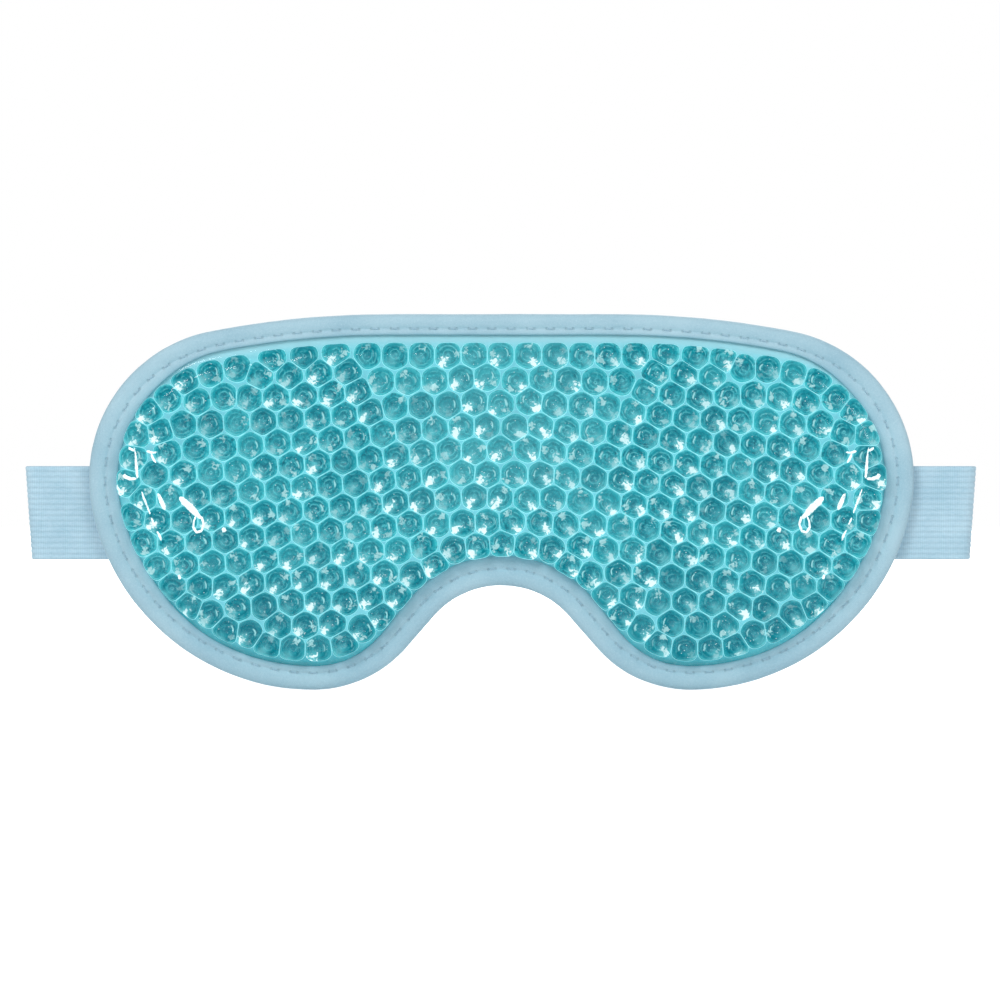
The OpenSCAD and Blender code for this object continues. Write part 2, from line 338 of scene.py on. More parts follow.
def thread_material(name, light, dark):
    n = Nodes(name)
    twist = n.wave(n.attribute("rest_mm", "Vector"), 1.6, "DIAGONAL", 0.4)
    colour = n.mix(twist, dark, light)
    n.surface(colour, 0.55, n.bump(twist, 0.08, 0.6), Sheen_Weight=0.2, Specular_IOR_Level=0.4)
    return n.material


def gel_material(name):
    """Soft clear gel: deep teal inside a bead, with painted light in place of the light it bends, bright
    at the wall it shares with its neighbour.
    """
    n = Nodes(name)
    cell = n.attribute("cell", "Vector")
    kind = n.attribute("kind", "Vector")
    u, v, wall_at = n.split(cell)
    shade, glint, swirl = n.split(kind)
    flat = n.vmath("MULTIPLY", cell, (1.0, 1.0, 0.0))
    seeded = n.vmath("ADD", flat, n.vmath("MULTIPLY", kind, (17.0, 31.0, 23.0)))
    rad = n.vmath("LENGTH", flat)
    warp = n.minus(n.noise(seeded, 1.6, 2.0, 0.5), 0.5)
    bent = n.plus(rad, n.times(warp, 0.30))
    refraction_patches = n.noise(seeded, 3.2, 3.0, 0.62, 0.9)
    # painted light that the bead bends: deep in the middle, brighter towards its wall
    body = n.ramp(bent, (
        (0.00, linear(4, 126, 144)), (0.28, linear(8, 138, 156)), (0.46, linear(24, 164, 180)),
        (0.60, linear(12, 146, 164)), (0.78, linear(22, 166, 182)), (0.92, linear(58, 196, 208))),
        "EASE")
    rings = n.math("SINE", n.times(bent, 21.0))
    broken = n.range(n.noise(seeded, 1.7, 2.0, 0.5, 0.6), 0.44, 0.62)
    at_x, _, at_z = n.split(n.place())
    pale = n.times(n.range(n.size(at_x), 38.0, 4.0), n.range(at_z, -14.0, 12.0))
    for share, tint in (
            # painted light and shade in patches, where the gel bends light
            (n.range(refraction_patches, 0.52, 0.70, 0.0, 0.80), (84, 206, 217)),
            (n.range(refraction_patches, 0.47, 0.32, 0.0, 0.75), (2, 104, 124)),
            # darker towards the top, where less light gets through
            (n.range(n.plus(v, n.times(warp, 0.6)), 0.1, 0.9, 0.0, 0.30), (4, 112, 132)),
            # rings of light and dark
            (n.times(n.range(rings, 0.35, 1.0, 0.0, 0.62), broken), (112, 220, 228)),
            (n.times(n.range(rings, -0.5, -1.0, 0.0, 0.40), broken), (6, 110, 130)),
            # darker and paler beads
            (n.range(shade, 0.0, 0.45, 0.30, 0.0), (4, 112, 131)),
            (n.range(shade, 0.7, 1.0, 0.0, 0.22), (84, 204, 214)),
            # paler above the nose, deeper low in the lobes
            (n.times(pale, 0.26), (112, 214, 222)),
            (n.range(at_z, -10.0, -34.0, 0.0, 0.42), (6, 118, 138))):
        body = n.mix(share, body, linear(*tint))
    # light gathered low on the side away from the middle of the pad
    du = n.plus(u, n.range(swirl, 0.0, 1.0, 0.36, 0.58, "LINEAR"))
    dv = n.plus(v, n.range(shade, 0.0, 1.0, 0.44, 0.62, "LINEAR"))
    lengthwise = n.plus(n.times(du, 0.66), n.times(dv, 0.75))
    crosswise = n.plus(n.times(du, -0.75), n.times(dv, 0.66))
    spot = n.far(n.times(lengthwise, 2.1), n.times(crosswise, 3.0))
    fine = n.noise(seeded, 3.3, 2.0, 0.5, 0.9)
    ragged = n.plus(spot, n.times(n.minus(fine, 0.5), 3.4))
    blob = n.times(n.range(ragged, 1.0, 0.3), n.range(glint, 0.30, 0.95))
    # a smaller painted glint against the wall, somewhere else in each bead
    turn = n.times(swirl, 6.283)
    wall_glint = n.far(n.minus(u, n.times(n.math("COSINE", turn), 0.62)),
                n.minus(v, n.times(n.math("SINE", turn), 0.62)))
    wall_glint = n.plus(wall_glint, n.times(n.minus(fine, 0.5), 1.2))
    wall_glint = n.times(n.range(wall_glint, 0.30, 0.08), n.range(shade, 0.15, 0.6, 0.25, 0.85))
    # a painted glow round the gathered light
    halo = n.times(n.range(spot, 1.9, 0.4), n.range(glint, 0.0, 0.8, 0.25, 0.8))
    # short arc of light on the other side of the middle
    arc_r = n.range(n.size(n.minus(bent, 0.50)), 0.085, 0.02)
    held = n.math("MAXIMUM", rad, 0.05)
    toward = n.math("DIVIDE", n.plus(n.times(u, 0.97), n.times(v, 0.24)), held)
    arc = n.times(n.times(arc_r, n.range(toward, 0.78, 0.97)), n.range(swirl, 0.1, 0.6))
    # bright dots of painted light, as from small bubbles in some beads
    dots = n.texture("Voronoi", seeded, 3.4).outputs["Distance"]
    bubble_glint = n.times(n.range(dots, 0.14, 0.07),
                     n.times(n.range(swirl, 0.25, 0.45, 0.0, 0.8), n.range(rad, 0.78, 0.66)))
    light = n.math("MAXIMUM", blob, bubble_glint)
    # the wall is brightest low on the same side as the gathered light
    lit = n.math("DIVIDE", n.plus(n.times(u, -0.75), n.times(v, -0.66)), held)
    lit = n.range(lit, -0.5, 0.9)
    # a thin painted ring of light just inside the wall, on the lit side
    inner = n.times(n.range(n.size(n.minus(wall_at, 0.86)), 0.05, 0.0), lit)
    wall = n.times(n.range(wall_at, 0.945, 0.98), n.plus(0.60, n.times(lit, 0.40)))
    # painted light laid over the gel's colour
    for share, tint in ((halo, (106, 210, 220)), (arc, (168, 240, 245)), (wall_glint, (188, 243, 247)),
                        (n.times(inner, 0.5), (120, 222, 230)), (wall, (172, 241, 246)),
                        (light, (226, 250, 252))):
        body = n.mix(share, body, linear(*tint))
    # the flanks of the outer beads, which only show from the side, stay deep
    _, out_y, _ = n.split(n.node("NewGeometry").outputs["Normal"])
    flank = n.times(n.range(n.size(out_y), 0.42, 0.12), n.range(wall_at, 0.984, 0.997))
    hue = n.mix(n.range(refraction_patches, 0.40, 0.62), linear(26, 150, 167), linear(88, 200, 211))
    body = n.mix(n.times(flank, 0.9), body, hue)
    # the gel glows: painted light in place of light passing through it, brightest at the glints and the
    # wall; only a little of its colour takes the lamps
    glow = n.plus(0.765, n.plus(n.times(light, 0.30), n.times(wall, 0.32)))
    lit_part = n.mix(0.84, body, (0.0, 0.0, 0.0, 1.0))
    n.surface(lit_part, 0.30, None, Coat_Weight=0.15, Coat_Roughness=0.08, Specular_IOR_Level=0.15,
              Emission_Color=body, Emission_Strength=glow)
    return n.material


def film_material(name):
    """Clear glossy film: only its shine and its creases show, the creases painted white as highlights
    that glow a little.
    """
    n = Nodes(name)
    normal = n.bump(n.noise(n.place(), 0.30, 3.0), 0.20, 0.5)
    facing = n.node("LayerWeight", Blend=0.5, Normal=normal).outputs["Facing"]
    shiny = n.plus(0.022, n.times(n.math("POWER", facing, 5.0), 0.9))
    clear = n.node("BsdfTransparent", Color=(0.955, 0.985, 0.99, 1.0))
    shine = n.node("BsdfGlossy", Roughness=0.09, Normal=normal)
    # painted highlight on the creases: white that glows a little, broken up along its length
    painted_streak = n.surface(linear(226, 248, 251), 0.15, None, Emission_Color=(1, 1, 1, 1),
                      Emission_Strength=0.30)
    streak_breaks = n.range(n.noise(n.place(), 1.3, 3.0, 0.7), 0.36, 0.52, 0.35, 0.95)
    film = n.blend(shiny, clear.outputs[0], shine.outputs[0])
    both = n.blend(n.times(n.attribute("crease"), streak_breaks), film, painted_streak.outputs[0])
    n.plug(both, n.out.inputs[0])
    return n.material


def tinted_material(name):
    """Turquoise film with a painted highlight, paler along the top of its edge."""
    n = Nodes(name)
    where = n.place()
    slow = n.noise(where, 0.05, 2.0)
    fine = n.noise(where, 0.8, 3.0)
    colour = n.ramp(slow, ((0.3, linear(62, 182, 196)), (0.7, linear(86, 197, 209))))
    colour = n.mix(n.times(n.range(fine, 0.5, 0.8), 0.3), colour, linear(140, 222, 230))
    colour = n.mix(n.attribute("pale"), colour, linear(176, 218, 228))
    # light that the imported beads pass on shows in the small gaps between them
    n.surface(colour, 0.25, n.bump(fine, 0.3, 0.3), Coat_Weight=0.3,
              Emission_Color=linear(186, 236, 242),
              Emission_Strength=n.times(n.attribute("under"), 0.32))
    return n.material


MATERIALS = {
    "binding": cloth_material("binding_cloth", linear(162, 193, 206), linear(143, 178, 194)),
    "plush": cloth_material("plush_pile", linear(186, 214, 228), linear(150, 188, 208), 0.0, 0.5, 0.6),
    "elastic": elastic_material("ribbed_elastic", linear(184, 213, 228), linear(152, 190, 209)),
    "thread": thread_material("sewing_thread", linear(160, 192, 207), linear(136, 170, 189)),
    "gel": gel_material("soft_gel"),
    "film": film_material("clear_film"),
    "tinted": tinted_material("tinted_film"),
    "hook": thread_material("hook_tape", linear(196, 220, 232), linear(160, 194, 212)),
    "loop": cloth_material("loop_tape", linear(206, 224, 234), linear(174, 202, 218), 0.2, 0.3, 0.4),
}


# ---------------------------------------------------------------- meshes
def outward(verts, faces):
    """The faces of closed pieces, turned round if they face inwards."""
    verts = np.asarray(verts, float)
    volume = 0.0
    for size in {len(f) for f in faces}:
        same = np.array([f for f in faces if len(f) == size])
        for k in range(1, size - 1):
            a, b, c = verts[same[:, 0]], verts[same[:, k]], verts[same[:, k + 1]]
            volume += (a * np.cross(b, c)).sum()
    return [list(f)[::-1] for f in faces] if volume < 0 else [list(f) for f in faces]


def in_scene(name, data):
    obj = bpy.data.objects.new(name, data)
    bpy.context.scene.collection.objects.link(obj)
    return obj


def build(name, verts, faces, material, body, replaces, values=None, closed=True):
    """Mesh object from points in millimetres. The values become point attributes."""
    verts = np.asarray(verts, float)
    mesh = bpy.data.meshes.new(name)
    faces = faces if isinstance(faces, list) else faces.tolist()
    mesh.from_pydata((verts * MM).tolist(), [], outward(verts, faces) if closed else faces)
    mesh.update()
    mesh.polygons.foreach_set("use_smooth", [True] * len(mesh.polygons))
    for key, data in {**(values or {}), "rest_mm": verts}.items():
        data = np.asarray(data, np.float32)
        kind, field = ("FLOAT", "value") if data.ndim == 1 else ("FLOAT_VECTOR", "vector")
        mesh.attributes.new(key, kind, "POINT").data.foreach_set(field, data.ravel())
    mesh.materials.append(MATERIALS[material])
    obj = in_scene(name, mesh)
    if body:
        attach(obj, body)
    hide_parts(*replaces)
    return obj


def ring_faces(rings, n, closed=True):
    """Quads between rings of n points, joined back to the first ring if closed."""
    i = np.arange(rings if closed else rings - 1)[:, None]
    j = np.arange(n)[None, :]
    k = (i + 1) % rings
    m = (j + 1) % n
    return np.stack([i * n + j, i * n + m, k * n + m, k * n + j], -1).reshape(-1, 4)


def in_3d(flat, y):
    return np.c_[flat[:, 0], np.broadcast_to(y, len(flat)), flat[:, 1]]


def curve_through(points, times):
    """Closed Catmull-Rom curve through points, times per span."""
    points = np.asarray(points, float)
    p0, p1, p2, p3 = (np.roll(points, k, axis=0) for k in (1, 0, -1, -2))
    rows = []
    for t in np.arange(times) / times:
        rows.append(0.5 * ((2 * p1) + (p2 - p0) * t + (2 * p0 - 5 * p1 + 4 * p2 - p3) * t ** 2
                           + (3 * p1 - p0 - 3 * p2 + p3) * t ** 3))
    return np.stack(rows, 1).reshape(-1, points.shape[1])


# ---------------------------------------------------------------- binding
def binding_width(p):
    """The binding is narrow along the top and wide at the sides and over the nose."""
    x, z = np.abs(p[:, 0]), p[:, 1]
    w = 5.7 + 2.1 * smooth(x, 72, 106)
    w = np.where(z < -10, 7.7 - 1.3 * smooth(-z, 22, 46) * smooth(x, 28, 42), w)
    w = np.where((z < -10) & (x < 40), 7.9 - 1.5 * smooth(x, 16, 42), w)
    return w


def smooth_loop(values, times):
    for _ in range(times):
        values = (np.roll(values, 1) + 2 * values + np.roll(values, -1)) / 4
    return values


def binding_run():
    """Stations round the binding, with its width, its line of stitching and the pitch of a stitch."""
    stations, normals = outline(440)
    width = smooth_loop(binding_width(stations), 60)
    line = np.minimum(4.5, width - 1.7)
    path = stations - normals * line[:, None]
    length = run_of(np.vstack([path, path[:1]]))
    count = int(round(length[-1] / STITCH_PITCH))
    return stations, normals, width, line, path, length, count, length[-1] / count


def make_binding():
    stations, normals, width, line, _, length, _, pitch = binding_run()
    phase = 2 * math.pi * length[:-1] / pitch
    rear_w = 7.0
    rows = []
    for k in range(len(stations)):
        w, s, pull = width[k], line[k], 0.5 + 0.5 * math.cos(phase[k])
        rows.append([
            (w - 0.35, -3.02), (w - 0.02, -3.20), (w - 0.10, -3.62), ((w + s) / 2 + 0.25, -3.86),
            (s + 0.55, -3.84 + 0.06 * pull), (s, -3.76 + 0.20 * pull), (s - 0.55, -3.88 + 0.06 * pull),
            (s * 0.62, -4.02), (s * 0.34, -3.92), (0.42, -3.30), (0.0, -2.15),
            (0.36, -0.98), (1.3, -0.30), (2.6, -0.12), (s - 0.55, -0.22 - 0.04 * pull),
            (s, -0.34 - 0.12 * pull), (s + 0.55, -0.24 - 0.04 * pull), (rear_w - 0.8, -0.22),
            (rear_w - 0.12, -0.42), (rear_w, -0.82), (rear_w - 0.35, -1.04),
            (4.0, -1.06), (1.5, -1.06), (1.0, -2.05), (1.5, -2.98), (4.0, -2.98)])
    section = np.array([curve_through(r, 2) for r in rows])
    n = section.shape[1]
    flat = stations[:, None, :] - normals[:, None, :] * section[:, :, :1]
    verts = np.stack([flat[..., 0], section[..., 1], flat[..., 1]], -1).reshape(-1, 3)
    # soft unevenness of sewn cloth: slow swelling and short puckers near the stitches
    away = section - np.array([3.2, -2.05])
    away /= np.linalg.norm(away, axis=2)[..., None]
    slow = noise_of(verts, 9.0, 3.1).reshape(-1, n)
    short = noise_of(verts * np.array([1.0, 0.5, 1.0]), 2.3, 7.7).reshape(-1, n)
    seam = np.exp(-((section[..., 0] - line[:, None]) / 1.6) ** 2)
    push = 0.07 * slow + short * (0.03 + 0.05 * seam)
    inner = (section[..., 1] > -3.0) & (section[..., 1] < -1.05) & (section[..., 0] > 0.9)
    push[inner] = 0
    push[section[..., 1] > -0.6] *= 0.4
    flat = flat - normals[:, None, :] * (push * away[..., 0])[..., None]
    depth = section[..., 1] + push * away[..., 1]
    verts = np.stack([flat[..., 0], depth, flat[..., 1]], -1).reshape(-1, 3)
    # painted shadow line along the binding's inner edge, where it stands above the film
    step = np.exp(-((section[..., 0] - width[:, None]) / 0.22) ** 2) * 0.5 * (section[..., 1] < -3.0)
    outer = np.abs(section[..., 1] + 2.05) > 1.2
    aside = np.where(outer, section[..., 0] - line[:, None], 9.0)
    turn = np.broadcast_to((phase + math.pi)[:, None], section.shape[:2])
    seam_at = np.stack([np.cos(turn), np.sin(turn), aside], -1).reshape(-1, 3)
    build("binding_tape_soft", verts, ring_faces(len(stations), n), "binding", "mask",
          ("binding_tape",), {"hollow": step.ravel(), "seam": seam_at})


DEPTH = np.array([0.0, 1.0, 0.0])


def side_of(path):
    """Directions along a path, and those square to them and to the depth."""
    tangent = np.gradient(path, axis=0)
    tangent /= np.linalg.norm(tangent, axis=1)[:, None]
    side = np.cross(tangent, DEPTH)
    side[np.linalg.norm(side, axis=1) < 1e-3] = np.cross(path[-1] - path[0], DEPTH)
    return tangent, side / np.linalg.norm(side, axis=1)[:, None]


def sweep(path, sizes, sides, side, up):
    """Closed rod along a path, its sections spanned by side and up."""
    turn = (2 * math.pi * np.arange(sides) / sides)[None, :, None]
    section = np.cos(turn) * side[:, None] + np.sin(turn) * up[:, None]
    verts = (path[:, None] + np.asarray(sizes)[:, None, None] * section).reshape(-1, 3)
    last = (len(path) - 1) * sides
    faces = ring_faces(len(path), sides, False).tolist()
    faces += [list(range(sides))[::-1], list(range(last, last + sides))]
    return verts, outward(verts, faces)


def tube(path, radius, sides=8, taper=(0.5, 0.9, 1.0)):
    """Closed round thread along a short path."""
    path = np.asarray(path, float)
    tangent, side = side_of(path)
    near = [min(k, len(path) - 1 - k) for k in range(len(path))]
    sizes = [radius * (taper[k] if k < len(taper) else 1.0) for k in near]
    return sweep(path, sizes, sides, side, np.cross(side, tangent))


def join(parts):
    verts, faces, base = [], [], 0
    for v, f in parts:
        verts.append(v)
        faces.extend([[i + base for i in face] for face in f])
        base += len(v)
    return np.vstack(verts), faces


def make_binding_stitches():
    _, normals, _, _, path, length, count, pitch = binding_run()
    # flat place and outward direction at each length, joined back to the first
    both = np.hstack([path, normals])
    both = np.vstack([both, both[:1]])
    parts = []
    for k in range(count):
        for face in (-1, 1):
            x, z = along(k * pitch % length[-1], length, both)[:2]
            if face > 0 and abs(x) > 102 and abs(z - STRAP_Z) < 15:
                continue
            points = []
            for t in np.linspace(-1, 1, 9):
                now = along(((k + 0.5) * pitch + t * 0.19 * pitch) % length[-1], length, both)
                x, z = now[:2] + now[2:] * 0.10 * t * face
                rise = 0.22 * (1 - t * t) ** 0.6 if abs(t) < 1 else 0.0
                points.append([x, -3.62 - rise if face < 0 else -0.40 + rise, z])
            parts.append(tube(points, 0.15))
    verts, faces = join(parts)
    build("binding_stitching_thread", verts, faces, "thread", "mask", ("binding_stitching",))


# ---------------------------------------------------------------- beads
# inset of the outer beads' walls, bead pitch, longest reach of a wall from its bead's middle
BEAD_EDGE, BEAD_PITCH, BEAD_CAP = 7.7, 7.0, 3.98
# points round a bead and rings over it, and directions tried when its wall is worked out
BEAD_TURNS, BEAD_LEVELS, FINE = 30, 9, 240
# places where more light gathers: (distance from the middle, height, spread, extra)
GLINTS = ((0.0, 26.0, 14.0, 0.80), (22.0, -22.0, 13.0, 0.5), (4.0, -6.0, 14.0, 0.55),
          (38.0, -36.0, 9.0, 0.4), (96.0, 4.0, 8.0, 0.3), (70.0, -4.0, 26.0, 0.18))


def bead_centres():
    """Hexagonal packing that follows the sloping top edge, settled into the pouch."""
    step = 0.5
    gx, gz = np.meshgrid(np.arange(-104, 104.1, step), np.arange(-45, 45.1, step))
    ground = np.c_[gx.ravel(), gz.ravel()]
    ground = ground[inset_of(ground) > BEAD_EDGE]
    wanted = int(round(len(ground) * step * step / (BEAD_PITCH ** 2 * math.sqrt(3) / 2)))
    row = BEAD_PITCH * math.sqrt(3) / 2
    seeds = []
    for j in range(-12, 13):
        for i in range(-18, 19):
            x = (i + 0.5 * (j % 2)) * BEAD_PITCH
            seeds.append((x, j * row + 2.2 - 0.085 * abs(x)))
    seeds = np.array(seeds)
    seeds = seeds[inset_of(seeds) > BEAD_EDGE + 0.8]
    order = np.argsort(-inset_of(seeds), kind="stable")
    seeds = seeds[order][:wanted]
    rng = np.random.default_rng(12)
    seeds = seeds + rng.normal(0, 0.22, seeds.shape)
    for _ in range(16):
        owner = nearest(tree_of(seeds), ground)
        size = np.bincount(owner, minlength=len(seeds)).clip(1)
        cx = np.bincount(owner, ground[:, 0], len(seeds)) / size
        cz = np.bincount(owner, ground[:, 1], len(seeds)) / size
        seeds = seeds + 0.85 * (np.c_[cx, cz] - seeds)
    # looser beads over the nose, where the pouch is narrow
    loose = np.exp(-(seeds[:, 0] / 15.0) ** 2) * (inset_of(seeds) > BEAD_EDGE + 4)
    return seeds + rng.uniform(-1, 1, seeds.shape) * 0.75 * loose[:, None]


def bead_reach(centres):
    """Boundary of every bead: its own angles and the reach at each, with a corner at each junction."""
    fine = np.arange(FINE) * 2 * math.pi / FINE
    ray = np.c_[np.cos(fine), np.sin(fine)]
    angles, reaches = [], []
    for c in centres:
        near = centres - c
        d = np.linalg.norm(near, axis=1)
        close = (d > 0.1) & (d < 14)
        hard = np.full(FINE, BEAD_CAP)
        soft = np.full(FINE, BEAD_CAP ** -24.0)
        for vector, far in zip(near[close], d[close]):
            facing = ray @ (vector / far)
            limit = np.where(facing > 0.05, far / 2 / np.maximum(facing, 0.05), 99.0)
            hard = np.minimum(hard, limit)
            soft += limit ** -24.0
        edge = inset_of(c + ray * 3.3)
        limit = np.where(edge < BEAD_EDGE + 2.0, np.maximum(3.3 + edge - BEAD_EDGE, 1.5), 99.0)
        hard, soft = np.minimum(hard, limit), soft + limit ** -24.0
        soft = soft ** (-1 / 24)
        peak = (hard > np.roll(hard, 1)) & (hard >= np.roll(hard, -1)) & (hard < BEAD_CAP - 0.02)
        corners = [k for k in np.flatnonzero(peak)] or [0]
        spans = np.diff(np.r_[corners, corners[0] + FINE])
        share = np.maximum(1, np.floor(spans / FINE * BEAD_TURNS).astype(int))
        while share.sum() > BEAD_TURNS:
            share[share.argmax()] -= 1
        while share.sum() < BEAD_TURNS:
            share[(spans / share).argmax()] += 1
        at = np.concatenate([k + np.arange(m) * span / m for k, span, m in zip(corners, spans, share)])
        angles.append(at * 2 * math.pi / FINE)
        reaches.append(np.interp(at % FINE, np.arange(FINE + 1), np.r_[soft, soft[0]]))
    return np.array(angles), np.array(reaches) * 0.997


def make_beads(centres):
    rng = np.random.default_rng(5)
    turns, levels = BEAD_TURNS, BEAD_LEVELS
    # dome profile from the front middle to the back middle of a pressed bead
    t = np.linspace(0, math.pi, levels + 2)[1:-1]
    out = np.abs(np.sin(t)) ** 0.38
    deep = np.sign(np.cos(t)) * np.abs(np.cos(t)) ** 0.54
    verts, faces, cell, kind = [], [], [], []
    inset = inset_of(centres)
    angles, reaches = bead_reach(centres)
    fronts = np.empty(len(centres))
    for i, c in enumerate(centres):
        ray = np.c_[np.cos(angles[i]), np.sin(angles[i])]
        front = DOME_Y + 0.30 + 1.5 * (1 - smooth(inset[i], 9.0, 14.5)) + rng.normal(0, 0.08)
        fronts[i] = front
        back = REAR_Y - 0.12
        mid, half = (front + back) / 2, (back - front) / 2
        dice = rng.random(3)
        for x, z, spread, boost in GLINTS:
            gap = math.hypot(abs(c[0]) - x, c[1] - z) / spread
            dice[1] = min(1.0, dice[1] + boost * math.exp(-gap * gap))
        base = len(verts)
        mirrored = 1.0 if c[0] < 0 else -1.0
        lean = rng.normal(0, 0.07, 2)
        verts.append((c[0], front, c[1]))
        cell.append((lean[0], lean[1], 0.0))
        for o, y in zip(out, deep):
            for x, z in ray * (reaches[i] * o)[:, None]:
                verts.append((c[0] + x, mid - half * y, c[1] + z))
                cell.append((mirrored * x / 3.7 + lean[0] * (1 - o), z / 3.7 + lean[1] * (1 - o),
                             o if y > 0.02 else 1.0))
        verts.append((c[0], back, c[1]))
        cell.append((0.0, 0.0, 1.0))
        kind.extend([tuple(dice)] * (len(verts) - base))
        for j in range(turns):
            faces.append((base, base + 1 + (j + 1) % turns, base + 1 + j))
            faces.append((base + 1 + (levels - 1) * turns + j,
                          base + 1 + (levels - 1) * turns + (j + 1) % turns, base + 1 + levels * turns))
        faces.extend((ring_faces(levels, turns, False)[:, ::-1] + base + 1).tolist())
    build("gel_beads_soft", verts, faces, "gel", "mask", ("gel_beads",),
          {"cell": cell, "kind": kind})
    return fronts


# ---------------------------------------------------------------- sheets
def sheet_points(insets, spacing, ring_step):
    """Flat points of a sheet: rings along the edge, then an even field inside them.

    Also returned: how many points the outermost ring has. They come first.
    """
    count = int(round(EDGE_RUN / ring_step / 2)) * 2
    stations, normals = outline(count // 2)
    rings = [stations - normals * d for d in insets]
    xs = np.arange(-112, 112, spacing)
    zs = np.arange(-52, 52, spacing * math.sqrt(3) / 2)
    grid = np.array([(x + (j % 2) * spacing / 2, z) for j, z in enumerate(zs) for x in xs])
    grid = grid[inset_of(grid) > insets[-1] + spacing * 0.7]
    flat = np.vstack(rings + [grid])
    edges = [(i, (i + 1) % count) for i in range(count)]
    found = geometry.delaunay_2d_cdt([Vector(p) for p in flat], edges, [], 1, 1e-6)
    return np.array([tuple(p) for p in found[0]]), [list(f) for f in found[2]], count


def two_faced(faces, n, count):
    """Faces of a closed sheet: a front, its copy n points further on, and the rim between them."""
    rim = [[i, (i + 1) % count, n + (i + 1) % count, n + i] for i in range(count)]
    return faces + [[n + i for i in f][::-1] for f in faces] + rim


def film_depth(flat, centres, fronts):
    """Depth of the clear film: flat on the weld, then up and over the beads, sagging between them."""
    inset = inset_of(flat)
    over = np.empty(len(flat))
    for k in range(0, len(flat), 3000):
        d = np.linalg.norm(flat[k:k + 3000, None] - centres, axis=2)
        pull = np.exp(-(d / 2.6) ** 2)
        weight = np.exp(-(d / 5.0) ** 2) + 1e-12
        top = (weight * fronts).sum(1) / weight.sum(1)
        over[k:k + 3000] = top - 0.30 + 0.50 * (1 - np.clip(pull.sum(1), 0, 1))
    rise = smooth(inset, 7.4, 10.6) ** 0.75
    return np.where(inset < 7.4, WELD_Y, WELD_Y + (over - WELD_Y) * rise)


def make_front_film(centres, fronts):
    flat, faces, _ = sheet_points((1.2, 3.0, 5.0, 6.4, 7.2, 7.8, 8.4, 9.0, 9.6), 0.95, 1.0)
    verts = in_3d(flat, film_depth(flat, centres, fronts))
    parts = [(verts, faces)]
    rng = np.random.default_rng(3)
    for crease in CREASES:
        crease = np.array(crease)
        length = run_of(crease[:, :2])
        at = np.linspace(0, length[-1], max(7, int(length[-1] / 0.4)))
        found = along(at, length, crease)
        line = found[:, :2] + rng.normal(0, 0.02, (len(at), 2))
        size = found[:, 2] * (1 + 0.10 * rng.normal(0, 1, len(at)).clip(-1.5, 1.5))
        for side in (-1, 1):
            spot = line * (side, 1)
            y = film_depth(spot, centres, fronts) - 0.10
            parts.append(ridge(in_3d(spot, y), size))
    count = len(verts)
    verts, faces = join(parts)
    # the crease ridges are marked for their painted highlight
    crease_highlight = np.zeros(len(verts))
    crease_highlight[count:] = 1.0
    build("front_film_clear", verts, faces, "film", "mask", ("front_film",),
          {"crease": crease_highlight}, closed=False)


def ridge(path, sizes):
    """Flattened closed ridge along a path: a crease in film that catches the light."""
    ends = [min(1.0, 0.35 + 0.65 * min(k, len(path) - 1 - k)) for k in range(len(path))]
    _, side = side_of(path)
    return sweep(path, np.maximum(0.04, sizes) * ends, 8, side, np.tile(0.4 * DEPTH, (len(path), 1)))


# creases near each end of the pouch, painted white as highlights: (x on the right-hand side, z, half
# width) along each
CREASES = (
    ((97.4, 14.4, 0.12), (97.0, 12.0, 0.22), (96.8, 9.0, 0.42), (96.6, 6.2, 0.30)),
    ((100.7, 7.6, 0.50), (99.8, 6.5, 0.55), (98.2, 6.0, 0.45), (96.8, 6.1, 0.35)),
    ((100.2, 17.3, 0.42), (99.1, 16.7, 0.28)),
    ((99.5, 14.5, 0.22), (98.3, 13.9, 0.38), (97.2, 13.4, 0.30)),
    ((94.1, 13.4, 0.42), (92.7, 12.9, 0.30), (91.3, 13.1, 0.26)),
    ((92.9, 12.7, 0.22), (92.3, 11.2, 0.34), (91.6, 10.2, 0.22)),
    ((95.6, 3.4, 0.12), (94.6, 0.4, 0.30), (93.4, -2.6, 0.18), (92.6, -4.8, 0.32), (91.8, -6.8, 0.14),
     (90.6, -9.2, 0.34), (89.4, -11.8, 0.14)),
    ((91.1, 2.2, 0.40), (90.2, 0.2, 0.62), (89.2, -2.2, 0.48)),
    ((85.3, 1.2, 0.45), (84.3, 0.1, 0.85), (82.5, -1.5, 0.95), (80.7, -3.4, 0.70), (79.6, -4.6, 0.35)),
    ((81.0, -3.7, 0.30), (79.4, -4.3, 0.34), (78.9, -6.0, 0.26), (79.5, -7.8, 0.32), (80.8, -8.2, 0.34),
     (81.7, -6.9, 0.30), (81.5, -5.1, 0.24), (81.0, -3.9, 0.24)),
    ((73.8, -6.9, 0.42), (73.3, -8.1, 0.55)),
    ((85.6, -19.4, 0.35), (85.2, -20.6, 0.40)),
)


def make_rear_film():
    flat, faces, count = sheet_points((0.95, 4.0, 6.5, 7.2), 3.0, 2.0)
    front = in_3d(flat, REAR_Y - 0.04)
    back = in_3d(flat, REAR_Y + 0.28)
    inset = inset_of(flat)
    # painted highlight: paler along the top of the edge
    pale = 0.85 * smooth(flat[:, 1], 4, 20) * (1 - smooth(inset, 7.1, 8.4))
    under = smooth(inset, 7.8, 10.0)
    build("rear_film_tinted", np.vstack([front, back]), two_faced(faces, len(flat), count), "tinted",
          "mask", ("rear_film",),
          {"pale": np.r_[pale, pale], "under": np.r_[under, under * 0]})


# frames of cloth simulation, and the furthest that it may move a point out and sideways
CLOTH_FRAMES, BULGE, SIDEWAYS = 20, 0.9, 0.6


